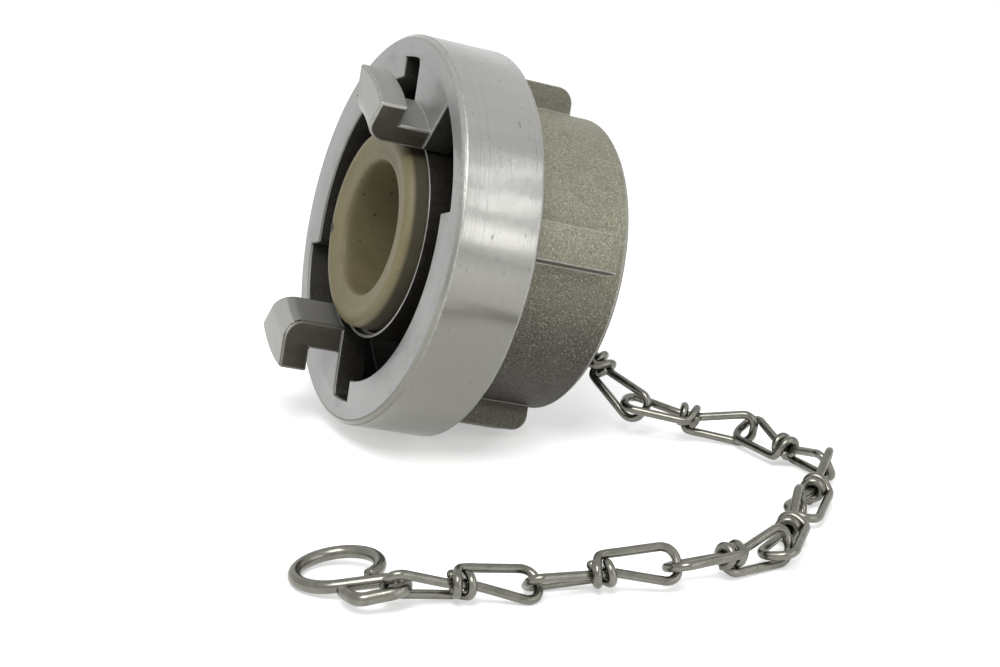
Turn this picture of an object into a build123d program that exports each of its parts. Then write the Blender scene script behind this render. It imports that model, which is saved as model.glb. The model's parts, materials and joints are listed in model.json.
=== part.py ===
"""Lug coupling cap with its chain: cap body, turning insert, seal, snap ring, ring, links and end hook.

Sizes are in millimetres. The frame has +Z up, the floor at Z = 0 and its origin at the middle of
the whole object's base. The cap lies as the photograph shows it, on the rear edge of its turned
ring and on one grip rib, with its mouth towards -X and a little upwards. The cap is drawn along its own axis first, with the ring's front
face at z = 0 and the mouth towards +z, and is then laid down.
"""
import os
from copy import copy
from math import asin, cos, degrees, hypot, radians, sin

from build123d import *

# Driving dimensions of the cap
LUG_DISTANCE = 31.0          # standard spacing between the lugs' inner faces
RECESS_R = 24.3              # entry recesses, and the groove behind the flange
RING_WALL = 3.2              # ring's wall outside the recesses
RING_D = 2 * (RECESS_R + RING_WALL)
RING_W = 12.1
RING_FRONT_CHAMFER = 0.6
RING_REAR_CHAMFER = 0.45
HUB_D = 42.2
CAP_LENGTH = 28.6
HUB_WALL = 2.9
HUB_REAR_CHAMFER = 0.6
MOUTH_R = 21.4
FLANGE_T = 4.2
GROOVE_FLOOR = 9.8
WEB_REAR = 14.0
OVERLAP = 1.0                # how far a shape reaches into the next, so that they join or cut

# Lugs: two claws that hook outwards
LUG_STEM_R = 18.9
LUG_TIP_R = 22.0
LUG_GAP = 4.5
LUG_NOSE = 8.5
LUG_NOSE_INNER_R = 2.8
LUG_NOSE_OUTER_R = 2.2
LUG_END_DEG = 41.5
LUG_SIDE = 6.9
RECESS_START_DEG = 3.0
SLOT_INNER = 1.3
SLOT_CORNER_R = 2.2

# Grip ribs on the hub
RIB_COUNT = 4
RIB_HEIGHT = 3.62
RIB_TOP = HUB_D / 2 + RIB_HEIGHT
RIB_W = 5.3
RIB_SETBACK = 2.6            # from the hub's rear plane to the rib's end
RIB_END = CAP_LENGTH - RIB_SETBACK
RIB_END_R = 2.3

# Turning insert with its seal
RUN_GAP = 0.05               # radial gap of the turning fit
INSERT_R = LUG_DISTANCE / 2 - 0.3
INSERT_FRONT = 1.0
INSERT_RIM_R = 14.8
INSERT_RIM_DEPTH = 1.4
SEAL_SEAT_R = 14.3
SEAL_FLOOR = 8.0
TAIL_R = 12.5
TAIL_END = 17.0
CLIP_GROOVE_R = 11.6
CLIP_T = 1.2
CLIP_OUTER_R = 14.2
CLIP_OPEN_DEG = 46.0
SEAL_R = 14.1
SEAL_HOLE_R = 9.0
SEAL_LIP = 1.7
SEAL_BEVEL = 1.0
SEAL_RIM_CHAMFER = 0.5

# Cast eye on the insert's rear
BOSS_R = 5.0
STEM_R = 2.0
EYE_OFFSET = 1.56            # from the hub's rear plane to the eye's centre
EYE_MEAN_R = 3.3
EYE_BAR = 2.2

# Ring, chain and hook
RING_WIRE = 1.4
RING_MEAN_R = 3.85
RING_TURN = 13.0
RING_GAP = 0.16              # play between the ring and the cast eye
WIRE = 1.2
PITCH = 17.4
LINK_GAP = 0.06
LOOP_HALF_W = 2.4
LOOP_CORNER = 1.15           # each corner of a bow is cut twice, first this far
LOOP_CORNER_CUT = 0.45       # and then this far
THROUGH_SIDE = 0.15          # the wire that runs through the waist, off the link's axis
OUTER_SIDE = 1.9             # the wire that passes outside the waist to its own turn
WRAP_GAP = 0.05
WRAP_R = 1.5 * WIRE + WRAP_GAP
WRAP_W = 1.15
WRAP_OFFSET = 1.0            # from the link's middle to each turn
WRAP_LEAN = 14.0
WAIST_R = 1.3
HOOK_WIRE = 1.65
HOOK_TURN = -18.2
HOOK_SLACK = 1.1             # how far its eye hangs back from the end of the last link's bow
HOOK_SLIDE = -0.16           # off the middle of the last link's bow
HOOK_SHIFT = 0.75            # off the middle of its own eye
HOOK_BIG_R = 5.2
HOOK_END_R = 4.3
HOOK_SHANK = 6.0
HOOK_SMALL_R = 2.13
HOOK_TAIL_X = 2.4            # where the eye's lower wire turns back to the shank
HOOK_TAIL_Y = -4.95
HOOK_TIP_X = 0.4
HOOK_TIP_Y = -1.35
HOOK_TAIL_R = 1.1

# How each link lies, from the cap outwards: its heading, slope and twist in degrees, then how slack
# it hangs in the bow before it and how far it has slid along that bow's end and along its own
LINKS = [
    ("chain_link_1", -62, -36, -14, 0, 0, -0.8),
    ("chain_link_2", -33, -7.5, 5, 2.3, 0, -0.4),
    ("chain_link_3", -79, -0.5, 31, 0.9, -0.1, 0.5),
    ("chain_link_4", -130, -4, 77, 0.2, -0.2, 0.7),
    ("chain_link_5", -129, -2.5, 99, 1.9, 0.3, 0.9),
    ("chain_link_6", -167, 1.5, 111, 2.3, -0.9, 0.2),
    ("chain_link_7", 172, -4.5, -54, 0, 0.4, -0.4),
    ("chain_link_8", 174, 5.5, -36, 0, 0, 0.3),
]

# How the cap lies: its roll, and the tilt that the ring edge and one rib give it
CAP_ROLL = 16.7


def annular(r_outer, r_inner, z_low, z_high):
    """A plain ring about the cap's axis between two heights."""
    with BuildPart() as part:
        with BuildSketch(Plane.XY.offset(z_low)):
            Circle(r_outer)
            Circle(r_inner, mode=Mode.SUBTRACT)
        extrude(amount=z_high - z_low)
    return part.part


def disc(radius, z_low, z_high):
    """A plain disc about the cap's axis between two heights."""
    with BuildPart() as part:
        with BuildSketch(Plane.XY.offset(z_low)):
            Circle(radius)
        extrude(amount=z_high - z_low)
    return part.part


def sector(radius, start_deg, end_deg):
    """A pie-shaped face that reaches past the given radius."""
    reach = 2 * radius
    middle = (start_deg + end_deg) / 2
    corners = [(0, 0)]
    for angle in (start_deg, middle, end_deg):
        corners.append((reach * cos(radians(angle)), reach * sin(radians(angle))))
    with BuildSketch() as sketch:
        with BuildLine():
            Polyline(*corners, close=True)
        make_face()
    return sketch.sketch


def lug_footprint():
    """The lug's arc seen from the front: a ring sector cut flat on the slot's side."""
    band = Sketch() + Circle(RECESS_R + OVERLAP) - Circle(LUG_DISTANCE / 2)
    wedge = sector(RECESS_R + OVERLAP, LUG_END_DEG, 90)
    side = Pos(LUG_SIDE + RING_D / 2, 0) * Rectangle(RING_D, 2 * RING_D)
    return band & wedge & side


def mouth_half():
    """One side of the mouth: entry recess and relief slot beside the lug."""
    recess = (Sketch() + Circle(RECESS_R)) & sector(RECESS_R, RECESS_START_DEG, LUG_END_DEG)
    slot_w = LUG_SIDE - SLOT_INNER
    slot = Pos(SLOT_INNER + slot_w / 2, RECESS_R / 2) * Rectangle(slot_w, RECESS_R)
    corner = slot.vertices().sort_by(Axis.Y)[-2:].sort_by(Axis.X)[-1]
    slot = fillet(corner, SLOT_CORNER_R)
    slot = slot & (Sketch() + Circle(RECESS_R))
    return recess + slot


def mouth():
    """The opening through the front flange, alike after half a turn."""
    half = mouth_half()
    lug = lug_footprint()
    outline = Sketch() + Circle(MOUTH_R)
    outline = outline + half + Rot(0, 0, 180) * half
    return outline - lug - Rot(0, 0, 180) * lug


def lug():
    """One claw: the hooked section turned about the axis and cut at both ends."""
    r_in = LUG_DISTANCE / 2
    with BuildPart() as part:
        with BuildSketch(Plane.XZ):
            with BuildLine():
                Polyline(
                    (r_in, -FLANGE_T),
                    (LUG_STEM_R, -FLANGE_T),
                    (LUG_STEM_R, LUG_GAP),
                    (LUG_TIP_R, LUG_GAP),
                    (LUG_TIP_R, LUG_NOSE),
                    (r_in, LUG_NOSE),
                    close=True,
                )
            make_face()
            nose = vertices().group_by(Axis.Y)[-1].sort_by(Axis.X)
            fillet(nose[0], LUG_NOSE_INNER_R)
            fillet(nose[1], LUG_NOSE_OUTER_R)
        revolve(axis=Axis.Z, revolution_arc=90)
    claw = part.part
    reach = extrude(lug_footprint(), amount=LUG_NOSE + FLANGE_T + 2)
    return claw & (Pos(0, 0, -FLANGE_T - 1) * reach)


def rib():
    """One grip rib along the hub, with a rounded end, standing towards +y."""
    height = RIB_HEIGHT + 1.5 * OVERLAP
    length = RIB_END - RING_W + OVERLAP
    block = Box(RIB_W, height, length, align=(Align.CENTER, Align.MAX, Align.MIN))
    block = Pos(0, RIB_TOP, -RIB_END) * block
    end_edge = block.edges().filter_by(Axis.X).group_by(Axis.Z)[0].sort_by(Axis.Y)[-1]
    block = fillet(end_edge, RIB_END_R)
    return block


def cap_body():
    """The cast body: turned ring, hub, ribs, flange mouth, undercut groove and two lugs."""
    ring = disc(RING_D / 2, -RING_W, 0)
    ring = chamfer(ring.edges().group_by(Axis.Z)[-1], RING_FRONT_CHAMFER)
    ring = chamfer(ring.edges().group_by(Axis.Z)[0], RING_REAR_CHAMFER)
    hub = disc(HUB_D / 2, -CAP_LENGTH, -RING_W)
    hub = chamfer(hub.edges().group_by(Axis.Z)[0], HUB_REAR_CHAMFER)
    body = ring + hub
    for index in range(RIB_COUNT):
        body += Rot(0, 0, 360 / RIB_COUNT * index) * rib()
    body -= Pos(0, 0, -FLANGE_T) * extrude(mouth(), amount=FLANGE_T + OVERLAP)
    body -= disc(RECESS_R, -GROOVE_FLOOR, -FLANGE_T)
    body -= disc(TAIL_R + RUN_GAP, -WEB_REAR - OVERLAP, -GROOVE_FLOOR + OVERLAP)
    body -= disc(HUB_D / 2 - HUB_WALL, -CAP_LENGTH - OVERLAP, -WEB_REAR)
    for half_turn in (0, 180):
        body += Rot(0, 0, half_turn) * lug()
    return body


def insert():
    """The blank insert: seal cup, tail through the web, clip groove, boss and cast eye."""
    body = disc(INSERT_R, -GROOVE_FLOOR + 0.02, -INSERT_FRONT)
    body -= disc(INSERT_RIM_R, -INSERT_FRONT - INSERT_RIM_DEPTH, -INSERT_FRONT + 1)
    body -= disc(SEAL_SEAT_R, -SEAL_FLOOR, -INSERT_FRONT)
    body += disc(TAIL_R, -TAIL_END, -SEAL_FLOOR - 1)
    body -= annular(TAIL_R + 1, CLIP_GROOVE_R, -WEB_REAR - CLIP_T - 0.2, -WEB_REAR - 0.05)
    body += disc(BOSS_R, -CAP_LENGTH + 2.5, -TAIL_END + 0.5)
    eye = Pos(0, 0, -(CAP_LENGTH + EYE_OFFSET)) * Rot(0, 90, 0) * wire_ring(EYE_MEAN_R, EYE_BAR)
    body += eye
    body += disc(STEM_R, -CAP_LENGTH - EYE_OFFSET + EYE_MEAN_R, -TAIL_END)
    return body


def snap_ring():
    """The open clip behind the web that keeps the insert from dropping out forwards."""
    z_low = -WEB_REAR - CLIP_T - 0.1
    clip = annular(CLIP_OUTER_R, CLIP_GROOVE_R + 0.02, z_low, z_low + CLIP_T)
    gap = extrude(sector(CLIP_OUTER_R, -CLIP_OPEN_DEG / 2, CLIP_OPEN_DEG / 2), amount=CLIP_T + 2)
    return clip - Pos(0, 0, z_low - 1) * gap


def seal():
    """The rubber ring: a seated tube with a bevelled lip that stands past the ring's face."""
    with BuildPart() as part:
        with BuildSketch(Plane.XZ):
            with BuildLine():
                Polyline(
                    (SEAL_HOLE_R, -SEAL_FLOOR + 0.02),
                    (SEAL_SEAT_R - 0.02, -SEAL_FLOOR + 0.02),
                    (SEAL_SEAT_R - 0.02, -INSERT_FRONT - INSERT_RIM_DEPTH - 0.5),
                    (SEAL_R, -INSERT_FRONT - INSERT_RIM_DEPTH),
                    (SEAL_R, SEAL_LIP),
                    (SEAL_HOLE_R + SEAL_BEVEL, SEAL_LIP),
                    (SEAL_HOLE_R, SEAL_LIP - 0.7),
                    close=True,
                )
            make_face()
            chamfer(vertices().group_by(Axis.Y)[-1].sort_by(Axis.X)[-1], SEAL_RIM_CHAMFER)
        revolve(axis=Axis.Z)
    return part.part


def flat_of(wire):
    """Width across flats of the eight-sided section whose corners lie on a round wire."""
    return wire * cos(radians(22.5))


def corner_of(wire):
    """Chamfer that makes the section eight-sided and nearly regular."""
    return flat_of(wire) * 0.29


def wire_ring(mean_r, wire):
    """A closed round ring of wire with an eight-sided section, lying in XY."""
    half = flat_of(wire) / 2
    body = annular(mean_r + half, mean_r - half, -half, half)
    return chamfer(body.edges().filter_by(GeomType.CIRCLE), corner_of(wire))


def cut_corners(points, which, length):
    """A closed outline's points, with the named corners cut off at a length along both sides."""
    cut = []
    for index, point in enumerate(points):
        if index not in which:
            cut.append(point)
            continue
        for other in (points[index - 1], points[(index + 1) % len(points)]):
            cut.append(point + (other - point).normalized() * length)
    return cut


def bow_outline():
    """Middle line of a bow in XY: through the waist, round the tip at +x, back outside the waist."""
    reach = (PITCH + WIRE + LINK_GAP) / 2
    points = [
        Vector(-WRAP_OFFSET / 2, THROUGH_SIDE),
        Vector(reach, LOOP_HALF_W),
        Vector(reach, -LOOP_HALF_W),
        Vector(-WRAP_OFFSET, -OUTER_SIDE),
    ]
    points = cut_corners(points, (1, 2), LOOP_CORNER)
    return cut_corners(points, (1, 2, 3, 4), LOOP_CORNER_CUT)


def loop():
    """One bow of a link in XY, of wire with an eight-sided section."""
    with BuildSketch() as sketch:
        with BuildLine():
            Polyline(*bow_outline(), close=True)
        make_face()
    middle = sketch.sketch
    half = flat_of(WIRE) / 2
    outer = offset(middle, half, kind=Kind.INTERSECTION)
    inner = offset(middle, -half, kind=Kind.INTERSECTION)
    body = extrude(outer - inner, amount=half, both=True)
    rims = body.edges().filter_by(Plane.XY)
    return chamfer(rims, corner_of(WIRE))


def wrap(lean):
    """One turn of wire round the link's waist, leaning as the twist leaves it."""
    with BuildPart() as part:
        with BuildSketch(Plane.YZ.offset(-WRAP_W / 2)):
            RegularPolygon(WRAP_R, 12)
        extrude(amount=WRAP_W)
        chamfer(part.edges().filter_by(Plane.YZ), WRAP_W * 0.29)
    return Rot(0, 0, lean) * part.part


def chain_link():
    """A knotted link: two bows at right angles, each closed by a turn round the waist."""
    bow = loop()
    body = mirror(bow, Plane.YZ)
    body += Rot(90, 0, 0) * bow
    body += Pos(-WRAP_OFFSET, 0, 0) * wrap(WRAP_LEAN)
    body += Pos(WRAP_OFFSET, 0, 0) * wrap(WRAP_LEAN)
    with BuildPart() as waist:
        with BuildSketch(Plane.YZ.offset(-WRAP_OFFSET)):
            RegularPolygon(WAIST_R, 8)
        extrude(amount=2 * WRAP_OFFSET)
    return body + waist.part


def heading(turn, slope):
    """Unit vector with a compass turn from +X and a slope above the floor, in degrees."""
    level = cos(radians(slope))
    return Vector(level * cos(radians(turn)), level * sin(radians(turn)), sin(radians(slope)))


def link_frame(turn, slope, twist):
    """Axes of a link: along it, across its first bow, across its second bow."""
    along = heading(turn, slope)
    upright = (Vector(0, 0, 1) - along * along.Z).normalized()
    across = upright.cross(along)
    first = across * cos(radians(twist)) + upright * sin(radians(twist))
    return along, first, along.cross(first)


def bow_normal(one, other, along):
    """Common normal of two crossing bows, pointing down the chain."""
    normal = one.cross(other).normalized()
    return normal if normal.dot(along) > 0 else normal * -1


def resting_height(along, first, second):
    """Height of a link's middle when the lowest wire of its two bows lies on the floor."""
    drops = []
    for point in bow_outline():
        drops.append(first.Z * point.Y - along.Z * point.X)
        drops.append(second.Z * point.Y + along.Z * point.X)
    return WIRE / 2 - min(drops)


def laid_chain(ring_bottom):
    """Each link's centre and axes, hooked bow to bow from the ring outwards."""
    reach = (PITCH + WIRE + LINK_GAP) / 2
    ring_wire = heading(RING_TURN + 90, 0)
    placed = []
    for name, turn, slope, twist, slack, slide, shift in LINKS:
        along, first, second = link_frame(turn, slope, twist)
        if not placed:
            normal = bow_normal(ring_wire, first, along + Vector(0, 0, -1))
            step = (RING_WIRE + WIRE) / 2 + LINK_GAP
            centre = ring_bottom - normal * step + along * reach
            centre += first * shift
        else:
            _, last, last_along, _, last_second = placed[-1]
            normal = bow_normal(last_second, first, last_along + along)
            centre = last + last_along * (reach - slack) - normal * (WIRE + LINK_GAP)
            centre += along * reach + last_second * slide + first * shift
            centre = Vector(centre.X, centre.Y, resting_height(along, first, second))
        placed.append((name, centre, along, first, second))
    return placed


def end_hook():
    """The hook in XY: a big closed loop, a shank along +x and a small eye bent back to it."""
    end = (HOOK_BIG_R - HOOK_END_R, HOOK_BIG_R)
    with BuildLine() as line:
        CenterArc(end, HOOK_END_R, -48, 48)
        CenterArc((0, HOOK_BIG_R), HOOK_BIG_R, 0, 270)
        Line((0, 0), (HOOK_SHANK, 0))
        bend = CenterArc((HOOK_SHANK, -HOOK_SMALL_R), HOOK_SMALL_R, 90, -172)
        tail = (HOOK_TAIL_X, HOOK_TAIL_Y)
        FilletPolyline(bend @ 1, tail, (HOOK_TIP_X, HOOK_TIP_Y), radius=HOOK_TAIL_R)
    start = line.line.edges()[0]
    with BuildPart() as part:
        with BuildSketch(Plane(origin=start @ 0, x_dir=(0, 0, 1), z_dir=start % 0)):
            RegularPolygon(flat_of(HOOK_WIRE) / 2, 8, major_radius=False)
        sweep(path=line.line, transition=Transition.ROUND)
    return part.part


def hook_plane(placed):
    """Plane that hangs the hook's eye in the last link's bow, with its big loop's end on the floor."""
    _, last, along, _, second = placed[-1]
    reach = (PITCH + WIRE + LINK_GAP) / 2
    across = heading(HOOK_TURN + 90, 0)
    normal = bow_normal(second, across, along)
    contact = last + along * (reach - HOOK_SLACK) - normal * ((WIRE + HOOK_WIRE) / 2 + LINK_GAP)
    contact += second * HOOK_SLIDE
    length = HOOK_SHANK + HOOK_SMALL_R + HOOK_BIG_R
    shank = heading(HOOK_TURN, degrees(asin((contact.Z - HOOK_WIRE / 2) / length)))
    origin = contact - shank * (HOOK_SHANK + HOOK_SMALL_R) + across * (HOOK_SMALL_R + HOOK_SHIFT)
    return Plane(origin=origin, x_dir=shank, z_dir=shank.cross(across))


def ring_low(tilt):
    """Depth of the ring's chamfered rear edge below the face centre, at a tilt."""
    edge = RING_REAR_CHAMFER
    front = RING_D / 2 * cos(tilt) + (RING_W - edge) * sin(tilt)
    rear = (RING_D / 2 - edge) * cos(tilt) + RING_W * sin(tilt)
    return max(front, rear)


def rib_low(tilt):
    """Depth of the lowest rib's rounded corner below the face centre, at a tilt."""
    off = radians(CAP_ROLL)
    down = (cos(tilt) * sin(off), cos(tilt) * cos(off), sin(tilt))
    core = RIB_W / 2 * down[0] + (RIB_TOP - RIB_END_R) * down[1] + (RIB_END - RIB_END_R) * down[2]
    return core + RIB_END_R * hypot(down[1], down[2])


def laid_cap():
    """Plane that carries the cap's own frame into the row frame, resting on ring and rib."""
    low, high = 0.0, radians(30)
    for _ in range(50):
        tilt = (low + high) / 2
        if rib_low(tilt) < ring_low(tilt):
            low = tilt
        else:
            high = tilt
    plane = Plane(
        origin=(0, 0, ring_low(tilt)),
        x_dir=(0, -1, 0),
        z_dir=(-cos(tilt), 0, sin(tilt)),
    )
    return plane, tilt


def lay(shape, plane):
    """Move a shape drawn on the cap's axis to where the cap lies, rolled as photographed."""
    return plane.location * Rot(0, 0, CAP_ROLL) * shape


def centred(nodes):
    """Shift all pieces together, so that the frame's origin is the middle of their base."""
    middle = Compound(children=[copy(shape) for shape in nodes.values()]).bounding_box().center()
    return {node: Pos(-middle.X, -middle.Y, 0) * shape for node, shape in nodes.items()}


def build():
    plane, tilt = laid_cap()
    nodes = {}
    nodes["cap_body"] = lay(cap_body(), plane)
    nodes["blank_insert"] = plane.location * insert()
    nodes["seal_ring"] = lay(seal(), plane)
    nodes["snap_ring"] = plane.location * Rot(0, 0, -90) * snap_ring()
    mouth_out = Vector(-cos(tilt), 0, sin(tilt))
    eye = plane.origin - mouth_out * (CAP_LENGTH + EYE_OFFSET)
    top = eye - Vector(0, 0, EYE_MEAN_R - (EYE_BAR + RING_WIRE) / 2 - RING_GAP)
    centre = top - Vector(0, 0, RING_MEAN_R)
    ring_plane = Plane(origin=centre, x_dir=heading(RING_TURN + 90, 0), z_dir=heading(RING_TURN, 0))
    nodes["chain_ring"] = ring_plane.location * wire_ring(RING_MEAN_R, RING_WIRE)
    link = chain_link()
    bottom = centre - Vector(0, 0, RING_MEAN_R)
    placed = laid_chain(bottom)
    for name, at, along, _, second in placed:
        nodes[name] = Plane(origin=at, x_dir=along, z_dir=second).location * link
    nodes["end_hook"] = hook_plane(placed).location * end_hook()
    return centred(nodes)


if __name__ == "__main__":
    os.makedirs("parts", exist_ok=True)
    for node, shape in build().items():
        print(node, shape.is_valid, round(shape.volume, 2), len(shape.faces()))
        export_step(shape, f"parts/{node}.step")
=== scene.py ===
"""Coupling blank cap with its chain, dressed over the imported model.

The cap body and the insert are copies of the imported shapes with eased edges, and the seal is a turned profile.
The ring, the knotted links and the end hook are round wire carried along smooth paths. The snap ring keeps its
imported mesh. Lengths are in millimetres and angles in degrees, unless a comment says otherwise.
"""
import json

import bmesh
import bpy
import numpy as np
from mathutils import Matrix


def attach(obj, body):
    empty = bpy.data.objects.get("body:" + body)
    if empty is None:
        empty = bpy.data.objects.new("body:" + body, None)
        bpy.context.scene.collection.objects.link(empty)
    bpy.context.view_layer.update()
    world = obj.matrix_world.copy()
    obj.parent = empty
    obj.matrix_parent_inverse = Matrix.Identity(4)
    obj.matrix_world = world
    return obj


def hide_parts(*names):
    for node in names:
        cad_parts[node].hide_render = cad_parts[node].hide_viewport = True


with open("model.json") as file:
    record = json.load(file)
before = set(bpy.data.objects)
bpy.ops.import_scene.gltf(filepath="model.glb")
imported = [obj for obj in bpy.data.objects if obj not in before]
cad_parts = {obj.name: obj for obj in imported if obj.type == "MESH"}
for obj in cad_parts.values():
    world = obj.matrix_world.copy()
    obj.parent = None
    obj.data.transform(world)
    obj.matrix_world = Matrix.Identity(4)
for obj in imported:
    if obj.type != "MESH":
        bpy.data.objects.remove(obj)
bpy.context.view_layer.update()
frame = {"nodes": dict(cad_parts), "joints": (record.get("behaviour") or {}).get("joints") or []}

MM = 0.001
UP = np.array([0, 0, 1.0])
WHITE = (1, 1, 1, 1)

# The cap's own frame, from the hinge that its insert turns on: centre of the ring face and mouth direction
spin = [j for j in frame["joints"] if j["name"] == "insert_spin"][0]
FACE = np.array(spin["pos_m"]) / MM
MOUTH = np.array(spin["axis"])
SIDE = np.array([0.0, -1.0, 0.0])
RISE = np.cross(MOUTH, SIDE)
CAP_TURN = Matrix(np.array([SIDE, RISE, MOUTH]).T.tolist()).to_euler()
FLOOR_POINT = np.array([FACE[0], FACE[1], 0.0])

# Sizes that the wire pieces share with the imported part
CAP_LENGTH = 28.6
EYE_OFFSET = 1.56
EYE_MEAN_R = 3.3
EYE_BAR = 2.2
RING_WIRE = 1.4
RING_MEAN_R = 3.85
RING_TURN = 13.0
RING_GAP = 0.16
WIRE = 1.2
PITCH = 17.4
LINK_GAP = 0.06
REACH = (PITCH + WIRE + LINK_GAP) / 2
LOOP_HALF_W = 2.4
LOOP_CORNER = 1.15
LOOP_CORNER_CUT = 0.45
THROUGH_SIDE = 0.15
OUTER_SIDE = 1.9
WRAP_OFFSET = 1.0
HOOK_WIRE = 1.65
HOOK_TURN = -18.2
HOOK_SLACK = 1.1
HOOK_SLIDE = -0.16
HOOK_SHIFT = 0.75
HOOK_BIG_R = 5.2
HOOK_END_R = 4.3
HOOK_SHANK = 6.0
HOOK_SMALL_R = 2.13
HOOK_TAIL = (2.4, -4.95)
HOOK_TIP = (0.4, -1.35)

# Each link's turn from +X, slope, twist, slack in the bow before it, slide along that bow and shift of its own
LINKS = [
    (-62, -36, -14, 0, 0, -0.8),
    (-33, -7.5, 5, 2.3, 0, -0.4),
    (-79, -0.5, 31, 0.9, -0.1, 0.5),
    (-130, -4, 77, 0.2, -0.2, 0.7),
    (-129, -2.5, 99, 1.9, 0.3, 0.9),
    (-167, 1.5, 111, 2.3, -0.9, 0.2),
    (172, -4.5, -54, 0, 0.4, -0.4),
    (174, 5.5, -36, 0, 0, 0.3),
]

# The dressed links' wire is a little thinner than packed, so that hooked links stay clear
LINK_WIRE_R = WIRE / 2 - 0.02

# Half a link's course: the waist, the way back outside it, and the turn round it that settles and sways
WAIST = [[0.0, 0.0], [1.3, 0.04]]
WAY_BACK = [[2.6, -2.3], [0.9, -2.32], [-0.1, -2.2]]
STATION_STEP = 0.4
COIL_DEGREES = 385
COIL_STATIONS = 15
COIL_R = 1.22
COIL_LEAD = 0.9
COIL_SETTLE = 0.45
COIL_START = -0.45
COIL_RUN = 0.75
COIL_SWAY = 0.28

# The hook's course in its plane: first angle, last angle and stations of its arcs, shank, way back and pointed tip
HOOK_END_ARC = (-48, -6, 5)
HOOK_BIG_ARC = (5, 264, 24)
HOOK_SMALL_ARC = (90, -82, 9)
HOOK_STATION_STEP = 0.7
HOOK_RUN = [[0.3, 0], [1.2, 0], [2.4, 0], [3.6, 0], [4.8, 0]]
HOOK_RETURN = [
    [4.9, -4.45],
    [HOOK_TAIL[0] + 0.6, HOOK_TAIL[1] + 0.1],
    [HOOK_TAIL[0] - 0.35, HOOK_TAIL[1] + 0.55],
    HOOK_TIP,
]
TIP_LENGTH_SHARE = 0.035
TIP_TAPER = 0.3

# The seal's outline from its outer flank over the lip into the hole, as radius and depth from the ring face
SEAL_OUTLINE = [
    [14.2, -7.9], [14.2, -4.6], [14.1, -3.0], [14.05, -1.4], [14.0, 0.1], [13.95, 0.75], [13.6, 1.35],
    [12.95, 1.66], [12.3, 1.62], [11.7, 1.36], [11.0, 1.2], [10.4, 1.16], [9.95, 1.12], [9.6, 0.96],
    [9.4, 0.6], [9.25, 0.0], [9.15, -1.6], [9.05, -4.6], [9.05, -7.9],
]
SEAL_BACK_OUTER = [13.9, -7.95]
SEAL_BACK_INNER = [9.3, -7.95]

# Stations of a path before and after they're spread evenly, and points of its section or round the axis
LINK_GRID = (1200, 250, 14)
HOOK_GRID = (900, 230, 18)
SEAL_GRID = (400, 72, 144)
RING_STATIONS = 72
RING_AROUND = 16

# Eased edges: the whole width is for the lugs, in front of a depth, and the cap's other edges have a share of it
CAP_EASE = 0.36
INSERT_EASE = 0.1
OTHERS_SHARE = 0.42
LUG_DEPTH = 0.4
EASE_STEPS = 3

# Only edges that turn by more than this are eased, once near points are merged and flat faces joined
EDGE_TURN = 32.0
MERGE_METRES = 0.000002
FLAT_RADIANS = 0.004


# ---- surfaces


def mesh_piece(name, verts, faces, smooth=True):
    """A mesh object at the origin from vertices in millimetres and their faces."""
    mesh = bpy.data.meshes.new(name)
    mesh.from_pydata((verts * MM).tolist(), [], faces)
    mesh.polygons.foreach_set("use_smooth", np.full(len(mesh.polygons), smooth))
    mesh.update()
    piece = bpy.data.objects.new(name, mesh)
    bpy.context.scene.collection.objects.link(piece)
    return piece


def grid_faces(rows, cols, close_rows):
    """Quads of a grid whose columns close on themselves, and whose rows do so if asked."""
    r = np.arange(rows if close_rows else rows - 1)
    c = np.arange(cols)
    a, b = np.meshgrid(r, c, indexing="ij")
    a2, b2 = (a + 1) % rows, (b + 1) % cols
    quads = np.stack([a * cols + b, a * cols + b2, a2 * cols + b2, a2 * cols + b], -1)
    return quads.reshape(-1, 4)


def smooth_path(points, count):
    """Even steps on a uniform cubic B-spline: each place is a weighted mean of four neighbouring points."""
    p = np.asarray(points, float)
    p = np.vstack([2 * p[:1] - p[1:2], p, 2 * p[-1:] - p[-2:-1]])
    spans = len(p) - 3
    t = np.linspace(0, spans, count)
    i = np.minimum(t.astype(int), spans - 1)
    u = (t - i)[:, None]
    w = [(1 - u) ** 3, 3 * u**3 - 6 * u**2 + 4, -3 * u**3 + 3 * u**2 + 3 * u + 1, u**3]
    return sum(w[k] * p[i + k] for k in range(4)) / 6


def lengths_along(points):
    """Distance from the start of a line to each of its points."""
    return np.r_[0, np.cumsum(np.linalg.norm(np.diff(points, axis=0), axis=1))]


def evened(points, count):
    """The same line with its stations an equal length apart."""
    at = lengths_along(points)
    t = np.linspace(0, at[-1], count)
    return np.stack([np.interp(t, at, column) for column in points.T], 1)


def filled(points, step):
    """The same line with its stations about a step apart."""
    points = np.asarray(points, float)
    return evened(points, int(lengths_along(points)[-1] / step) + 2)


def unit(v):
    """Rows scaled to length one."""
    return v / np.linalg.norm(v, axis=-1, keepdims=True)


def wire_mesh(name, path, guide, radius, around, closed=False):
    """A round section carried along a path: each ring lies square to the path, set by the guide direction."""
    if closed:
        tangent = unit(np.roll(path, -1, 0) - np.roll(path, 1, 0))
    else:
        tangent = unit(np.gradient(path, axis=0))
    across = unit(np.cross(guide, tangent))
    third = np.cross(tangent, across)
    a = np.linspace(0, 2 * np.pi, around, endpoint=False)[None, :, None]
    ring = np.cos(a) * across[:, None, :] + np.sin(a) * third[:, None, :]
    radius = np.broadcast_to(radius, len(path))[:, None, None]
    verts = (path[:, None, :] + radius * ring).reshape(-1, 3)
    faces = grid_faces(len(path), around, closed).tolist()
    if not closed:
        first = np.arange(around)[::-1].tolist()
        last = ((len(path) - 1) * around + np.arange(around)).tolist()
        faces += [first, last]
    return mesh_piece(name, verts, faces)


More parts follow.
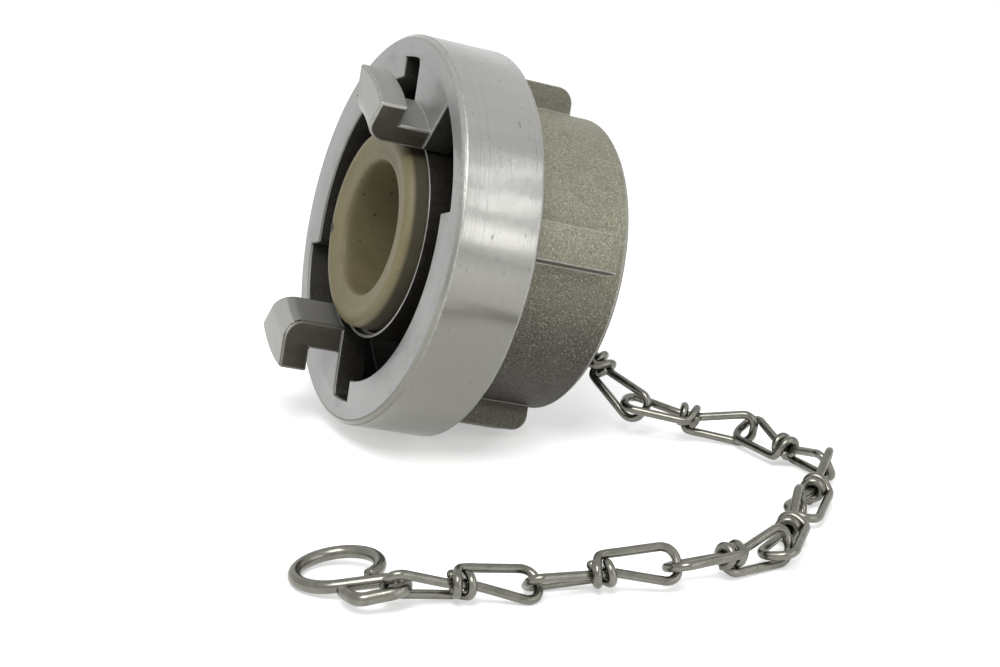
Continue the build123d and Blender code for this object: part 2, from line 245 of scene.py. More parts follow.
# ---- where the wire pieces lie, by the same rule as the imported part


def heading(turn, slope):
    """Unit vector with a turn from +X and a slope above the floor."""
    t, s = np.radians([turn, slope])
    return np.array([np.cos(s) * np.cos(t), np.cos(s) * np.sin(t), np.sin(s)])


def link_frame(turn, slope, twist):
    """Rows: along the link, across its first bow, across its second bow."""
    along = heading(turn, slope)
    upright = unit(UP - along * along[2])
    across = np.cross(upright, along)
    t = np.radians(twist)
    first = across * np.cos(t) + upright * np.sin(t)
    return np.array([along, first, np.cross(along, first)])


def bow_normal(one, other, along):
    """Common normal of two crossing bows, pointing down the chain."""
    n = unit(np.cross(one, other))
    return n if n @ along > 0 else -n


def cut_corners(points, which, length):
    """A closed outline's points with the named corners cut off at a length along both sides."""
    cut = []
    for index, point in enumerate(points):
        if index in which:
            for other in (points[index - 1], points[(index + 1) % len(points)]):
                cut.append(point + unit(other - point) * length)
        else:
            cut.append(point)
    return cut


def bow_corners():
    """Corners of a bow's middle line in its own plane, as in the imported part."""
    points = [
        np.array([-WRAP_OFFSET / 2, THROUGH_SIDE]),
        np.array([REACH, LOOP_HALF_W]),
        np.array([REACH, -LOOP_HALF_W]),
        np.array([-WRAP_OFFSET, -OUTER_SIDE]),
    ]
    points = cut_corners(points, (1, 2), LOOP_CORNER)
    return np.array(cut_corners(points, (1, 2, 3, 4), LOOP_CORNER_CUT))


EYE = FACE - MOUTH * (CAP_LENGTH + EYE_OFFSET)
RING_TOP = EYE - UP * (EYE_MEAN_R - (EYE_BAR + RING_WIRE) / 2 - RING_GAP)
RING_MID = RING_TOP - UP * RING_MEAN_R
RING_LOW = RING_MID - UP * RING_MEAN_R
RING_ACROSS = heading(RING_TURN + 90, 0)


def resting_height(axes):
    """Height of a link's middle when the lowest wire of its two bows lies on the floor."""
    x, w = bow_corners().T
    drops = np.r_[axes[1, 2] * w - axes[0, 2] * x, axes[2, 2] * w + axes[0, 2] * x]
    return WIRE / 2 - drops.min()


def laid_chain():
    """Each link's centre and axes, hooked bow to bow from the ring outwards."""
    placed = []
    for turn, slope, twist, slack, slide, shift in LINKS:
        axes = link_frame(turn, slope, twist)
        reach = axes[0] * REACH + axes[1] * shift
        if not placed:
            n = bow_normal(RING_ACROSS, axes[1], axes[0] - UP)
            centre = RING_LOW - n * ((RING_WIRE + WIRE) / 2 + LINK_GAP) + reach
        else:
            last, was = placed[-1]
            n = bow_normal(was[2], axes[1], was[0] + axes[0])
            hooked = last + was[0] * (REACH - slack) + was[2] * slide
            centre = hooked - n * (WIRE + LINK_GAP) + reach
            centre[2] = resting_height(axes)
        placed.append((centre, axes))
    return placed


# ---- the wire pieces and the seal


def half_link():
    """Half of a link's wire, along x with its bow in the x, w plane, and the guide of its section.

    It runs from the middle of the waist through the bow, back outside the waist and one turn round it. The turn's
    radius settles from the bow's own width, and its way along the waist sways with it.
    """
    line = filled(np.vstack([WAIST, bow_corners()[1:-1], WAY_BACK]), STATION_STEP)
    turn = np.radians(np.linspace(0, COIL_DEGREES, COIL_STATIONS)[1:])
    wide = COIL_R + COIL_LEAD * np.exp(-turn / COIL_SETTLE)
    along = COIL_START - COIL_RUN * turn / turn[-1] - COIL_SWAY * np.sin(turn)
    coil = np.stack([along, -wide * np.cos(turn), wide * np.sin(turn)], 1)
    bow = np.stack([line[:, 0], line[:, 1], np.zeros(len(line))], 1)
    guide = np.vstack([np.tile(UP, (len(bow), 1)), np.tile([1.0, 0, 0], (len(coil), 1))])
    return np.vstack([bow, coil]), guide


def chain_link(name, centre, axes):
    """One knotted link: a single wire with two bows at right angles, each end turned once round the waist."""
    line, guide = half_link()
    first = line * np.array([-1, 1, 1])
    first_guide = guide * np.array([1, 1, -1])
    second, second_guide = line[:, [0, 2, 1]], guide[:, [0, 2, 1]]
    points = np.vstack([first[::-1], second[1:]])
    guides = np.vstack([first_guide[::-1], second_guide[1:]])
    fine, kept, around = LINK_GRID
    both = evened(smooth_path(np.hstack([points, guides]), fine), kept)
    return wire_mesh(name, centre + both[:, :3] @ axes, both[:, 3:] @ axes, LINK_WIRE_R, around)


def arc(cx, cy, r, start, end, count):
    """Points of a circular arc in a plane, from one angle to another."""
    a = np.radians(np.linspace(start, end, count))
    return np.stack([cx + r * np.cos(a), cy + r * np.sin(a)], 1)


def end_hook(name, centre, axes):
    """The bent wire hook on the last link: big loop, shank and small eye, one path in the hook's plane."""
    across = heading(HOOK_TURN + 90, 0)
    n = bow_normal(axes[2], across, axes[0])
    contact = centre + axes[0] * (REACH - HOOK_SLACK) - n * ((WIRE + HOOK_WIRE) / 2 + LINK_GAP)
    contact = contact + axes[2] * HOOK_SLIDE
    length = HOOK_SHANK + HOOK_SMALL_R + HOOK_BIG_R
    shank = heading(HOOK_TURN, np.degrees(np.arcsin((contact[2] - HOOK_WIRE / 2) / length)))
    origin = contact - shank * (HOOK_SHANK + HOOK_SMALL_R) + across * (HOOK_SMALL_R + HOOK_SHIFT)
    flat = np.vstack([
        arc(HOOK_BIG_R - HOOK_END_R, HOOK_BIG_R, HOOK_END_R, *HOOK_END_ARC),
        arc(0, HOOK_BIG_R, HOOK_BIG_R, *HOOK_BIG_ARC),
        HOOK_RUN,
        arc(HOOK_SHANK, -HOOK_SMALL_R, HOOK_SMALL_R, *HOOK_SMALL_ARC),
        filled(HOOK_RETURN, HOOK_STATION_STEP),
    ])
    fine, kept, around = HOOK_GRID
    line = evened(smooth_path(flat, fine), kept)
    path = origin + line[:, :1] * shank + line[:, 1:] * across
    guide = np.tile(np.cross(shank, across), (kept, 1))
    to_tip = 1 - np.linspace(0, 1, kept)
    taper = 1 - TIP_TAPER * np.clip(1 - to_tip / TIP_LENGTH_SHARE, 0, 1) ** 2
    return wire_mesh(name, path, guide, HOOK_WIRE / 2 * taper, around)


def chain_ring(name):
    """A closed round ring of wire that hangs in the cast eye."""
    a = np.linspace(0, 2 * np.pi, RING_STATIONS, endpoint=False)[:, None]
    path = RING_MID + RING_MEAN_R * (np.cos(a) * RING_ACROSS + np.sin(a) * UP)
    guide = np.tile(heading(RING_TURN, 0), (RING_STATIONS, 1))
    return wire_mesh(name, path, guide, RING_WIRE / 2, RING_AROUND, closed=True)


def seal_body(name):
    """The seal as a profile turned round the cap's axis: rounded lip, shallow dish, soft edge into the hole."""
    fine, kept, around = SEAL_GRID
    line = np.vstack([SEAL_BACK_OUTER, evened(smooth_path(SEAL_OUTLINE, fine), kept), SEAL_BACK_INNER])
    a = np.linspace(0, 2 * np.pi, around, endpoint=False)[None, :, None]
    out = np.cos(a) * SIDE + np.sin(a) * RISE
    radius, depth = line.T[:, :, None, None]
    verts = FACE + radius * out + depth * MOUTH
    return mesh_piece(name, verts.reshape(-1, 3), grid_faces(len(line), around, True).tolist())


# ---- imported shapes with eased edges


def eased(node, width, soft=None):
    """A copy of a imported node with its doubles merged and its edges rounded, by a share of the width if given."""
    source = frame["nodes"][node]
    mesh = source.data.copy()
    form = bmesh.new()
    form.from_mesh(mesh)
    bmesh.ops.remove_doubles(form, verts=form.verts, dist=MERGE_METRES)
    bmesh.ops.dissolve_limit(form, angle_limit=FLAT_RADIANS, verts=form.verts, edges=form.edges)
    form.to_mesh(mesh)
    ends = np.array([[list(v.co) for v in e.verts] for e in form.edges]) / MM
    turn = np.array([e.calc_face_angle(0.0) for e in form.edges])
    form.free()
    share = 1.0 if soft is None else soft(ends.mean(1))
    weight = np.where(turn > np.radians(EDGE_TURN), share, 0.0).astype(np.float32)
    mesh.attributes.new("bevel_weight_edge", "FLOAT", "EDGE").data.foreach_set("value", weight)
    mesh.polygons.foreach_set("use_smooth", np.ones(len(mesh.polygons), bool))
    piece = bpy.data.objects.new("dressed_" + node, mesh)
    bpy.context.scene.collection.objects.link(piece)
    bevel = piece.modifiers.new("ease", "BEVEL")
    bevel.width = width * MM
    bevel.segments = EASE_STEPS
    bevel.limit_method = "WEIGHT"
    bevel.harden_normals = True
    bevel.use_clamp_overlap = False
    return piece


def lug_edges(middle):
    """The lugs' edges are rounded over the whole width, all others over less than half of it."""
    return np.where((middle - FACE) @ MOUTH > LUG_DEPTH, 1.0, OTHERS_SHARE)


# ---- materials

# Where a finish isn't there and where it is in full: radii from the cap's axis, or depths from the ring face
PAST_HUB = (21.6, 22.6)
OFF_HUB = (21.0, 21.2)
BEHIND_RING = (-12.2, -12.6)
FACE_BEGINS, FACE_ENDS = (-0.32, -0.2), (0.12, 0.05)
LUG_BEGINS = (0.05, 0.12)
GROOVE_WALL, GROOVE_MOUTH, GROOVE_FLOOR = (24.7, 24.5), (-0.25, -0.45), (-10.6, -10.4)
SLOT_WALL, SLOT_MOUTH, SLOT_FLOOR = (26.6, 26.4), (-0.3, -0.6), (-10.0, -9.0)
HOLLOW_WALL, HOLLOW_MOUTH = (18.4, 18.3), (-13.0, -14.0)
INNER_WALL, INNER_MOUTH, INNER_FLOOR = (25.2, 24.6), (-0.2, -0.6), (-11.4, -10.6)
CUP_BEGINS = (-20.0, -19.0)
HOLE_WALL, HOLE_MOUTH = (9.75, 9.5), (2.2, 0.9)
SEAL_FLANK, SEAL_SHOULDER = (13.7, 13.9), (0.9, 0.2)
SEAL_NICK, NICK_REACH = (-12.8, -3.4, 1.6), (1.7, 1.3)

# The side that catches the light, in the cap's own x and y
LIT_X, LIT_Y = 0.33, 0.94

# The ring's turned outside: beyond this radius and between these depths
TURNED_R = 26.7
TURNED_REAR = -12.2
TURNED_FRONT = -0.02

# Order of the cap body's finishes
CAST, EDGE, TURNED = range(3)


class Shade:
    """A new material with one Principled surface, and short ways to add nodes to it."""

    def __init__(self, name, metal):
        self.mat = bpy.data.materials.new(name)
        self.mat.use_nodes = True
        self.tree = self.mat.node_tree
        self.tree.nodes.clear()
        self.skin = self.node("ShaderNodeBsdfPrincipled")
        self.put(self.skin.inputs["Metallic"], metal)
        self.put(self.node("ShaderNodeOutputMaterial").inputs["Surface"], self.skin.outputs["BSDF"])

    def node(self, kind):
        """A new node of a kind."""
        return self.tree.nodes.new(kind)

    def put(self, socket, value):
        """Set an input to a number, a vector or a colour, or link an output to it."""
        if isinstance(value, (int, float)):
            socket.default_value = value
        elif isinstance(value, tuple):
            socket.default_value = value if socket.type == "VECTOR" else (*value, 1)
        else:
            self.tree.links.new(value, socket)

    def math(self, kind, *values):
        """The result of a named operation on up to three numbers."""
        n = self.node("ShaderNodeMath")
        n.operation = kind
        for socket, value in zip(n.inputs, values):
            self.put(socket, value)
        return n.outputs[0]

    def times(self, *values):
        """The product of numbers and masks."""
        product = values[0]
        for value in values[1:]:
            product = self.math("MULTIPLY", product, value)
        return product

    def step(self, value, off, on):
        """0 on the first number's side and 1 on the second's, smooth in between."""
        n = self.node("ShaderNodeMapRange")
        n.interpolation_type = "SMOOTHSTEP"
        rising = off < on
        self.put(n.inputs["Value"], value)
        self.put(n.inputs["From Min"], min(off, on))
        self.put(n.inputs["From Max"], max(off, on))
        self.put(n.inputs["To Min"], 0.0 if rising else 1.0)
        self.put(n.inputs["To Max"], 1.0 if rising else 0.0)
        return n.outputs[0]

    def mix(self, factor, a, b):
        """The first colour at 0, the second at 1."""
        n = self.node("ShaderNodeMix")
        n.data_type = "RGBA"
        self.put(n.inputs[0], factor)
        self.put(n.inputs[6], a)
        self.put(n.inputs[7], b)
        return n.outputs[2]

    def noise(self, where, scale, detail, rough):
        """Even noise from 0 to 1 over a place."""
        n = self.node("ShaderNodeTexNoise")
        self.put(n.inputs["Vector"], where)
        self.put(n.inputs["Scale"], scale)
        self.put(n.inputs["Detail"], detail)
        self.put(n.inputs["Roughness"], rough)
        return n.outputs["Fac"]

    def stretched(self, values, factors, detail, rough):
        """Noise over three values, each scaled by its own factor."""
        n = self.node("ShaderNodeCombineXYZ")
        for socket, value, factor in zip(n.inputs, values, factors):
            self.put(socket, self.times(value, factor))
        return self.noise(n.outputs[0], 1.0, detail, rough)

    def bands(self, value, per_mm, detail, rough):
        """Noise that changes with one value only, like the marks of turning."""
        n = self.node("ShaderNodeCombineXYZ")
        self.put(n.inputs[2], self.times(value, per_mm))
        return self.noise(n.outputs[0], 1.0, detail, rough)

    def place(self, in_cap):
        """Object coordinates in millimetres, in the cap's own frame if asked."""
        n = self.node("ShaderNodeMapping")
        n.vector_type = "TEXTURE"
        n.inputs["Scale"].default_value = (MM, MM, MM)
        if in_cap:
            n.inputs["Location"].default_value = tuple(FACE * MM)
            n.inputs["Rotation"].default_value = tuple(CAP_TURN)
        self.put(n.inputs["Vector"], self.node("ShaderNodeTexCoord").outputs["Object"])
        return n.outputs["Vector"]

    def parts(self, vector):
        """The three numbers of a vector."""
        n = self.node("ShaderNodeSeparateXYZ")
        self.put(n.inputs[0], vector)
        return n.outputs

    def from_axis(self, x, y):
        """Distance from the cap's axis."""
        return self.math("SQRT", self.math("ADD", self.times(x, x), self.times(y, y)))

    def lit(self, x, y, r):
        """How far a place lies on the lit side of the cap, from 0 below to 1 above."""
        lean = self.math("ADD", self.times(x, LIT_X), self.times(y, LIT_Y))
        return self.math("MULTIPLY_ADD", self.math("DIVIDE", lean, self.math("MAXIMUM", r, 1.0)), 0.5, 0.5)

    def facing(self, direction):
        """Cosine between the surface's own normal and a direction that is fixed to the object."""
        n = self.node("ShaderNodeVectorMath")
        n.operation = "DOT_PRODUCT"
        self.put(n.inputs[0], self.node("ShaderNodeTexCoord").outputs["Normal"])
        self.put(n.inputs[1], tuple(direction))
        return n.outputs["Value"]

    def finished(self, colour, rough, height, distance, strength):
        """The material, with its colour, roughness and a bump of a height over a distance in millimetres."""
        n = self.node("ShaderNodeBump")
        self.put(n.inputs["Distance"], distance * MM)
        self.put(n.inputs["Strength"], strength)
        self.put(n.inputs["Height"], height)
        self.put(self.skin.inputs["Base Color"], colour)
        self.put(self.skin.inputs["Roughness"], rough)
        self.put(self.skin.inputs["Normal"], n.outputs[0])
        return self.mat


def cast_metal():
    """Rough casting: hub, ribs and lugs and the machined ring face, with painted light: paler with painted glints on
    the lit side, painted shade below, on the ribs' flanks and in the dark groove, slots and hollow hub.
    """
    s = Shade("cast_metal", 0.55)
    where = s.place(in_cap=True)
    x, y, z = s.parts(where)
    r = s.from_axis(x, y)
    high = s.lit(x, y, r)
    side, rise, front = [s.facing(a) for a in (SIDE, RISE, MOUTH)]
    out = s.math("ADD", s.times(side, x), s.times(rise, y))
    out = s.math("DIVIDE", out, s.math("MAXIMUM", r, 1.0))
    grain = s.noise(where, 3.0, 3.0, 0.7)
    blotch = s.noise(where, 0.28, 3.0, 0.55)
    glint = s.noise(where, 4.6, 1.0, 0.5)

    # Rough skin with painted light: painted shade below and on the ribs' flanks, paler above with painted glints of
    # bright grains
    low = s.mix(s.step(grain, 0.3, 0.7), (0.026, 0.023, 0.017), (0.082, 0.076, 0.060))
    top = s.mix(s.step(grain, 0.3, 0.7), (0.165, 0.158, 0.114), (0.30, 0.293, 0.222))
    skin = s.mix(s.step(high, 0.42, 0.90), low, top)
    skin = s.mix(s.times(s.step(r, *PAST_HUB), s.step(high, 0.5, 0.2)), skin, s.mix(grain, low, top))
    skin = s.mix(s.times(s.step(blotch, 0.5, 0.75), 0.25), skin, (0.12, 0.115, 0.09))
    # Painted glints: bright grains only on the lit side
    painted_glints = s.times(s.step(glint, 0.63, 0.70), s.step(high, 0.1, 0.7))
    skin = s.mix(s.times(painted_glints, 0.55), skin, (0.60, 0.59, 0.49))
    # Painted shade on the ribs' flanks, behind the ring
    flank = s.times(s.step(out, 0.93, 0.75), s.step(s.math("ABSOLUTE", front), 0.5, 0.3))
    on_rib = s.times(s.step(z, *BEHIND_RING), s.step(r, *OFF_HUB))
    skin = s.mix(s.times(flank, on_rib, 0.6), skin, (0.05, 0.047, 0.036))

    # Machined ring face, with its turning rings and smears
    face = s.times(s.step(z, *FACE_BEGINS), s.step(z, *FACE_ENDS))
    rings = s.bands(r, 5.0, 3.0, 0.7)
    smear = s.noise(where, 0.16, 3.0, 0.6)
    flat = s.mix(rings, (0.28, 0.28, 0.275), (0.38, 0.38, 0.375))
    flat = s.mix(s.times(s.step(smear, 0.5, 0.7), 0.5), flat, (0.22, 0.22, 0.21))

    # Lugs: lighter where they face front, outward and up, partly rubbed clean and partly painted light; darker
    # elsewhere with oil and painted shade
    lug = s.step(z, *LUG_BEGINS)
    rubbed_and_lit = s.math("MAXIMUM", s.step(front, 0.35, 0.6), s.times(s.step(out, 0.3, 0.7), 0.6))
    rubbed_and_lit = s.math("MAXIMUM", rubbed_and_lit, s.times(s.step(rise, 0.3, 0.8), 0.5))
    oily_and_shaded = s.mix(blotch, (0.030, 0.025, 0.018), (0.080, 0.070, 0.055))
    claw = s.mix(rubbed_and_lit, oily_and_shaded, s.mix(grain, (0.30, 0.30, 0.285), (0.42, 0.42, 0.40)))

    # Painted shade: near-black groove and slots behind the flange, and a darker hollow hub
    groove = s.times(s.step(r, *GROOVE_WALL), s.step(z, *GROOVE_MOUTH), s.step(z, *GROOVE_FLOOR))
    slot = s.times(s.step(r, *SLOT_WALL), s.step(z, *SLOT_MOUTH), s.step(z, *SLOT_FLOOR))
    hollow = s.times(s.step(r, *HOLLOW_WALL), s.step(z, *HOLLOW_MOUTH))
    colour = s.mix(lug, s.mix(face, skin, flat), claw)
    colour = s.mix(s.times(s.math("MAXIMUM", groove, slot), 0.94), colour, (0.016, 0.014, 0.011))
    colour = s.mix(s.times(hollow, 0.6), colour, (0.05, 0.048, 0.04))

    smoother = s.math("MAXIMUM", face, s.times(lug, rubbed_and_lit))
    rough = s.math("MULTIPLY_ADD", grain, 0.12, s.math("MULTIPLY_ADD", smoother, -0.16, 0.46))
    coarse = s.math("SUBTRACT", 1.0, s.math("MAXIMUM", face, s.times(lug, 0.8)))
    height = s.times(s.math("MULTIPLY_ADD", glint, 0.5, grain), coarse)
    height = s.math("ADD", height, s.times(rings, face, 0.05))
    return s.finished(colour, rough, height, 0.22, 0.7)


def turned_metal():
    """The ring's turned outside: fine marks round it, short scratches and small pits, with painted light, paler on
    the lit side and painted shade below.
    """
    s = Shade("turned_metal", 0.9)
    s.put(s.skin.inputs["Anisotropic"], 0.55)
    along = s.node("ShaderNodeVectorTransform")
    along.vector_type, along.convert_from, along.convert_to = "VECTOR", "OBJECT", "WORLD"
    s.put(along.inputs[0], tuple(MOUTH))
    s.put(s.skin.inputs["Tangent"], along.outputs[0])
    x, y, z = s.parts(s.place(in_cap=True))
    high = s.lit(x, y, s.from_axis(x, y))
    marks = s.bands(z, 6.0, 4.0, 0.75)
    lines = s.bands(z, 2.3, 2.0, 0.8)
    wave = s.stretched((x, y, z), (0.35, 0.35, 0.02), 3.0, 0.55)
    pit = s.stretched((x, y, z), (0.7, 0.7, 3.2), 2.0, 0.5)
    # Painted light: paler on the lit side, painted shade below
    base = s.mix(s.step(high, 0.5, 1.0), (0.165, 0.163, 0.140), (0.38, 0.38, 0.37))
    base = s.mix(s.times(s.step(lines, 0.52, 0.66), 0.22), base, (0.15, 0.15, 0.135))
    base = s.mix(s.times(marks, 0.34), base, (0.40, 0.395, 0.35))
    base = s.mix(s.times(s.step(wave, 0.35, 0.75), 0.18), base, (0.20, 0.205, 0.19))
    base = s.mix(s.times(s.step(pit, 0.68, 0.73), 0.5), base, (0.10, 0.10, 0.09))
    rough = s.math("MULTIPLY_ADD", wave, 0.04, s.math("MULTIPLY_ADD", marks, 0.14, 0.10))
    height = s.math("MULTIPLY_ADD", s.step(pit, 0.68, 0.74), -1.2, marks)
    return s.finished(base, rough, height, 0.035, 0.6)


def rubbed_and_lit_edge():
    """Cast edges rubbed brighter by handling, with painted light: brighter on the lit side, duller below, and
    painted shade on the edges down in the groove.
    """
    s = Shade("rubbed_and_lit_edge", 0.7)
    where = s.place(in_cap=True)
    x, y, z = s.parts(where)
    r = s.from_axis(x, y)
    grain = s.noise(where, 1.4, 4.0, 0.7)
    dull = s.mix(grain, (0.105, 0.100, 0.085), (0.20, 0.196, 0.175))
    bright = s.mix(s.step(grain, 0.3, 0.7), (0.25, 0.247, 0.222), (0.36, 0.357, 0.335))
    # Painted light: the bright copy on the lit side, the dull copy below
    colour = s.mix(s.step(s.lit(x, y, r), 0.15, 0.7), dull, bright)
    # Painted shade on the edges inside the groove
    inner = s.times(s.step(r, *INNER_WALL), s.step(z, *INNER_MOUTH), s.step(z, *INNER_FLOOR))
    colour = s.mix(s.times(inner, 0.85), colour, (0.03, 0.028, 0.022))
    return s.finished(colour, 0.42, grain, 0.06, 0.5)


def insert_metal():
    """The turned insert: dark on its flank with oil and painted shade, a painted highlight on the rim in front, the
    cast eye dull behind.
    """
    s = Shade("insert_metal", 0.8)
    where = s.place(in_cap=True)
    grain = s.noise(where, 1.6, 4.0, 0.6)
    cast = s.mix(grain, (0.15, 0.145, 0.12), (0.36, 0.35, 0.31))
    oily_and_shaded = s.mix(grain, (0.018, 0.016, 0.013), (0.065, 0.058, 0.048))
    bright = s.mix(grain, (0.24, 0.235, 0.22), (0.5, 0.495, 0.47))
    cup = s.step(s.parts(where)[2], *CUP_BEGINS)
    ahead = s.step(s.facing(MOUTH), 0.4, 0.7)
    # Painted shade with oil on the flank, a painted highlight on the front rim
    colour = s.mix(s.times(cup, s.math("SUBTRACT", 1.0, ahead)), cast, oily_and_shaded)
    colour = s.mix(s.times(cup, ahead), colour, bright)
    return s.finished(colour, 0.36, grain, 0.08, 0.5)


def cream_rubber():
    """Moulded rubber, cream with an olive cast, darker and browner inside its hole as painted shade, painted shade
    on its outer flank, with specks and one nick.
    """
    s = Shade("cream_rubber", 0.0)
    s.put(s.skin.inputs["Specular IOR Level"], 0.35)
    where = s.place(in_cap=True)
    x, y, z = s.parts(where)
    r = s.from_axis(x, y)
    cloud = s.noise(where, 0.22, 3.0, 0.55)
    fine = s.noise(where, 1.3, 3.0, 0.55)
    speck = s.noise(where, 1.05, 2.0, 0.5)
    rings = s.bands(r, 1.5, 2.0, 0.6)
    body = s.mix(cloud, (0.125, 0.107, 0.050), (0.205, 0.180, 0.098))
    body = s.mix(s.times(s.step(fine, 0.5, 0.8), 0.3), body, (0.28, 0.25, 0.15))
    body = s.mix(s.times(s.step(rings, 0.4, 0.65), 0.3), body, (0.115, 0.10, 0.05))
    # Painted shade: darker and browner inside the hole
    hole = s.mix(cloud, (0.080, 0.067, 0.032), (0.150, 0.129, 0.066))
    depth = s.times(s.step(r, *HOLE_WALL), s.step(z, *HOLE_MOUTH))
    colour = s.mix(s.times(depth, 0.8), body, hole)
    # Painted shade on the outer flank, down in the cup
    flank = s.times(s.step(r, *SEAL_FLANK), s.step(z, *SEAL_SHOULDER))
    colour = s.mix(s.times(flank, 0.85), colour, (0.040, 0.035, 0.026))
    specks = s.times(s.step(speck, 0.69, 0.72), s.math("MULTIPLY_ADD", depth, 0.7, 0.15))
    colour = s.mix(specks, colour, (0.035, 0.03, 0.02))
    away = s.node("ShaderNodeVectorMath")
    away.operation = "DISTANCE"
    s.put(away.inputs[0], where)
    s.put(away.inputs[1], SEAL_NICK)
    nick = s.step(s.math("MULTIPLY_ADD", fine, 0.9, away.outputs["Value"]), *NICK_REACH)
    colour = s.mix(nick, colour, (0.02, 0.016, 0.01))
    height = s.math("MULTIPLY_ADD", nick, -2.0, s.math("MULTIPLY_ADD", fine, 0.3, cloud))
    return s.finished(colour, s.math("MULTIPLY_ADD", fine, 0.2, 0.4), height, 0.12, 0.5)


def plated_wire():
    """Plated wire: grey, a little uneven, duller in patches, with fine drawing scratches."""
    s = Shade("plated_wire", 1.0)
    where = s.place(in_cap=False)
    cloud = s.noise(where, 0.55, 3.0, 0.6)
    fine = s.noise(where, 1.6, 4.0, 0.65)
    colour = s.mix(cloud, (0.095, 0.092, 0.077), (0.255, 0.251, 0.218))
    colour = s.mix(s.times(s.step(fine, 0.55, 0.75), 0.22), colour, (0.09, 0.087, 0.075))
    return s.finished(colour, s.math("MULTIPLY_ADD", cloud, 0.16, 0.17), fine, 0.012, 0.4)


# ---- put together


def coat(piece, *finishes):
    """The piece with these finishes in place of any that it had."""
    piece.data.materials.clear()
    for finish in finishes:
        piece.data.materials.append(finish)
    return piece


def cap_finishes(piece):
    """The cap's casting, with the turned finish on the ring's outside by place and the rubbed one, with painted
    light, on eased edges.
    """
    mesh = coat(piece, cast_metal(), rubbed_and_lit_edge(), turned_metal()).data
    middle = np.empty(len(mesh.polygons) * 3)
    mesh.polygons.foreach_get("center", middle)
    middle = middle.reshape(-1, 3) / MM - FACE
    depth = middle @ MOUTH
    away = np.linalg.norm(middle - depth[:, None] * MOUTH, axis=1)
    turned = (away > TURNED_R) & (depth > TURNED_REAR) & (depth < TURNED_FRONT)
    mesh.polygons.foreach_set("material_index", np.where(turned, TURNED, CAST).astype(np.int32))
    piece.modifiers["ease"].material = EDGE
    return piece


def dress(piece, body, slot, *nodes):
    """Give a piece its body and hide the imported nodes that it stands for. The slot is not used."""
    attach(piece, body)
    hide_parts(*nodes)


PLATED = plated_wire()
dress(cap_finishes(eased("cap_body", CAP_EASE, lug_edges)), "cap", "cast_body", "cap_body")
dress(coat(eased("blank_insert", INSERT_EASE), insert_metal()), "insert", "cast_insert", "blank_insert")
dress(coat(seal_body("dressed_seal_ring"), cream_rubber()), "insert", "seal", "seal_ring")
coat(frame["nodes"]["snap_ring"], PLATED)

dress(coat(chain_ring("dressed_chain_ring"), PLATED), "chain_ring", "chain_wire", "chain_ring")
chain = laid_chain()
for number, (middle, axes) in enumerate(chain, 1):
    node = f"chain_link_{number}"
    dress(coat(chain_link("dressed_" + node, middle, axes), PLATED), node, "chain_wire", node)
dress(coat(end_hook("dressed_end_hook", *chain[-1]), PLATED), "end_hook", "chain_wire", "end_hook")


# ---- floor, light and camera

FLOOR_HALF = 1500
FLOOR_DROP = 0.05
FLOOR_PALE = 0.93
FLOOR_LIFT = 0.4
SURROUND_LIGHT = 0.5

# The key lamp's place and aim, from the foot of the cap
KEY_PLACE = FLOOR_POINT + [-150, -250, 420]
KEY_AIM = FLOOR_POINT + [20, -20, 20]
KEY_WIDTH = 260
KEY_POWER = 1.7

# Strips that the turned ring reflects, by direction from a point on its side, height and power
RIM_R = 27.6
RIM_DEPTH = 6
RIM_RISE = 0.35
RIM_POINT = FACE - RIM_DEPTH * MOUTH + RIM_R * unit(SIDE + RIM_RISE * RISE)
STRIP_AWAY = 450
STRIP_LENGTH = 320
STRIPS = [
    ("low_strip", (0.47, -0.86, 0.17), 90, 0.21),
    ("middle_strip", (0.55, -0.71, 0.44), 24, 0.13),
    ("high_strip", (0.59, -0.50, 0.63), 20, 0.09),
]

# The camera from the foot of the cap, as fitted to the ring's ellipses in the photograph
CAMERA_PLACE = FLOOR_POINT + [-104.2, -294.9, 110.4]
CAMERA_AHEAD = (0.3694, 0.8821, -0.2921)
CAMERA_ROLL = 2.4
SENSOR_WIDTH = 36.0
FOCAL_PIXELS = 2322.7
PHOTO_WIDTH = 1000


def seen_directly(tree):
    """1 for what the camera, a reflection or a clear body sees, 0 for the light on other surfaces."""
    path = tree.nodes.new("ShaderNodeLightPath")
    pair = tree.nodes.new("ShaderNodeMath")
    trio = tree.nodes.new("ShaderNodeMath")
    pair.operation = trio.operation = "MAXIMUM"
    tree.links.new(path.outputs["Is Camera Ray"], pair.inputs[0])
    tree.links.new(path.outputs["Is Glossy Ray"], pair.inputs[1])
    tree.links.new(pair.outputs[0], trio.inputs[0])
    tree.links.new(path.outputs["Is Transmission Ray"], trio.inputs[1])
    return trio.outputs[0]


def pick_seen(tree, otherwise, seen, surface):
    """Link one shader to a surface for what is seen directly, and another for the rest."""
    pick = tree.nodes.new("ShaderNodeMixShader")
    tree.links.new(seen_directly(tree), pick.inputs[0])
    tree.links.new(otherwise, pick.inputs[1])
    tree.links.new(seen, pick.inputs[2])
    tree.links.new(pick.outputs[0], surface)


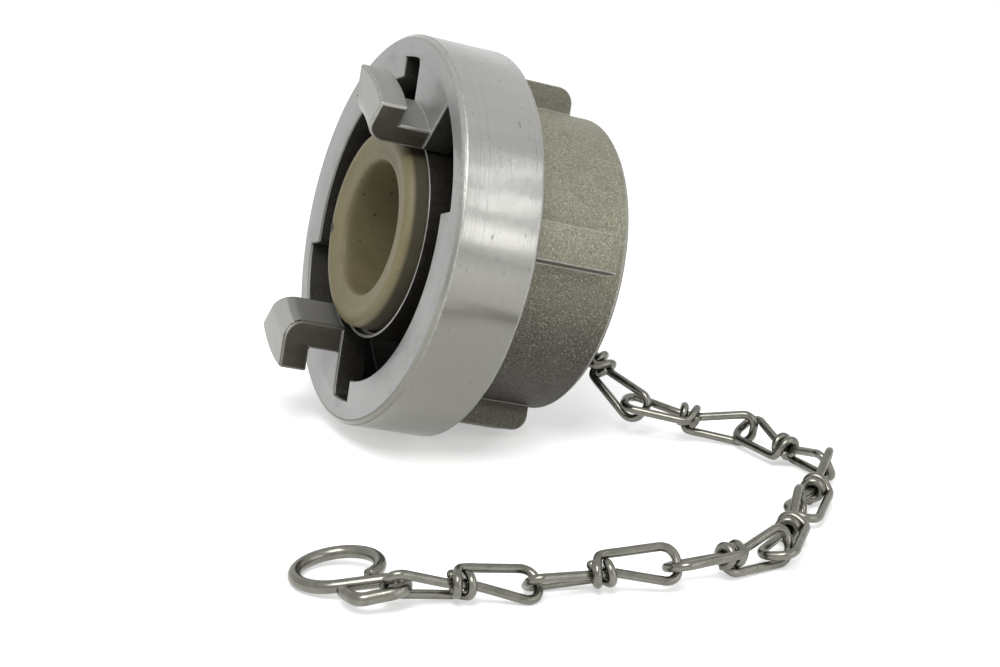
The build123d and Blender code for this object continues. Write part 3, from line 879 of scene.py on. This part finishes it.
def studio_floor():
    """A wide pale floor, just below the object, that shows white and keeps the shadow."""
    corners = np.array([[-1, -1, 0], [1, -1, 0], [1, 1, 0], [-1, 1, 0]]) * float(FLOOR_HALF)
    floor = mesh_piece("studio_floor", corners - UP * FLOOR_DROP, [[0, 1, 2, 3]], smooth=False)
    mat = bpy.data.materials.new("pale_floor")
    mat.use_nodes = True
    tree = mat.node_tree
    skin = tree.nodes["Principled BSDF"]
    skin.inputs["Base Color"].default_value = (FLOOR_PALE, FLOOR_PALE, FLOOR_PALE, 1)
    skin.inputs["Roughness"].default_value = 0.9
    lift = tree.nodes.new("ShaderNodeEmission")
    lift.inputs["Strength"].default_value = FLOOR_LIFT
    both = tree.nodes.new("ShaderNodeAddShader")
    tree.links.new(skin.outputs[0], both.inputs[0])
    tree.links.new(lift.outputs[0], both.inputs[1])
    pick_seen(tree, skin.outputs[0], both.outputs[0], tree.nodes["Material Output"].inputs["Surface"])
    floor.data.materials.append(mat)


def white_world():
    """A white surround that lights the object with less than it shows."""
    world = bpy.data.worlds.new("white_surround")
    world.use_nodes = True
    tree = world.node_tree
    back = tree.nodes["Background"]
    back.inputs["Color"].default_value = WHITE
    back.inputs["Strength"].default_value = SURROUND_LIGHT
    seen = tree.nodes.new("ShaderNodeBackground")
    seen.inputs["Color"].default_value = WHITE
    seen.inputs["Strength"].default_value = 1.0
    pick_seen(tree, back.outputs[0], seen.outputs[0], tree.nodes["World Output"].inputs["Surface"])
    bpy.context.scene.world = world


def aimed(name, data, place, ahead, roll=0.0):
    """A lamp or camera at a place that looks ahead, level but for its roll."""
    right = unit(np.cross(ahead, UP))
    up = np.cross(right, ahead)
    c, s = np.cos(np.radians(roll)), np.sin(np.radians(roll))
    rows = np.array([right * c + up * s, up * c - right * s, -ahead])
    turn = Matrix(rows.T.tolist()).to_4x4()
    turn.translation = (place * MM).tolist()
    holder = bpy.data.objects.new(name, data)
    holder.matrix_world = turn
    bpy.context.scene.collection.objects.link(holder)
    return holder


def soft_lamp(name, place, aim, wide, tall, power):
    """A flat lamp that looks at a point."""
    lamp = bpy.data.lights.new(name, "AREA")
    lamp.shape = "RECTANGLE"
    lamp.size = wide * MM
    lamp.size_y = tall * MM
    lamp.energy = power
    aimed(name, lamp, place, unit(aim - place))


def photo_camera():
    """The photograph's view, with its lens from the focal length in pixels of the photograph's width."""
    cam = bpy.data.cameras.new("photo_camera")
    cam.sensor_width = SENSOR_WIDTH
    cam.lens = FOCAL_PIXELS * SENSOR_WIDTH / PHOTO_WIDTH
    cam.clip_start, cam.clip_end = 0.01, 10
    ahead = unit(np.array(CAMERA_AHEAD))
    bpy.context.scene.camera = aimed("photo_camera", cam, CAMERA_PLACE, ahead, CAMERA_ROLL)


studio_floor()
white_world()
soft_lamp("key_lamp", KEY_PLACE, KEY_AIM, KEY_WIDTH, KEY_WIDTH, KEY_POWER)
for name, direction, tall, power in STRIPS:
    place = RIM_POINT + STRIP_AWAY * unit(np.array(direction))
    soft_lamp(name, place, RIM_POINT, STRIP_LENGTH, tall, power)
photo_camera()
bpy.context.scene.view_settings.view_transform = "Standard"
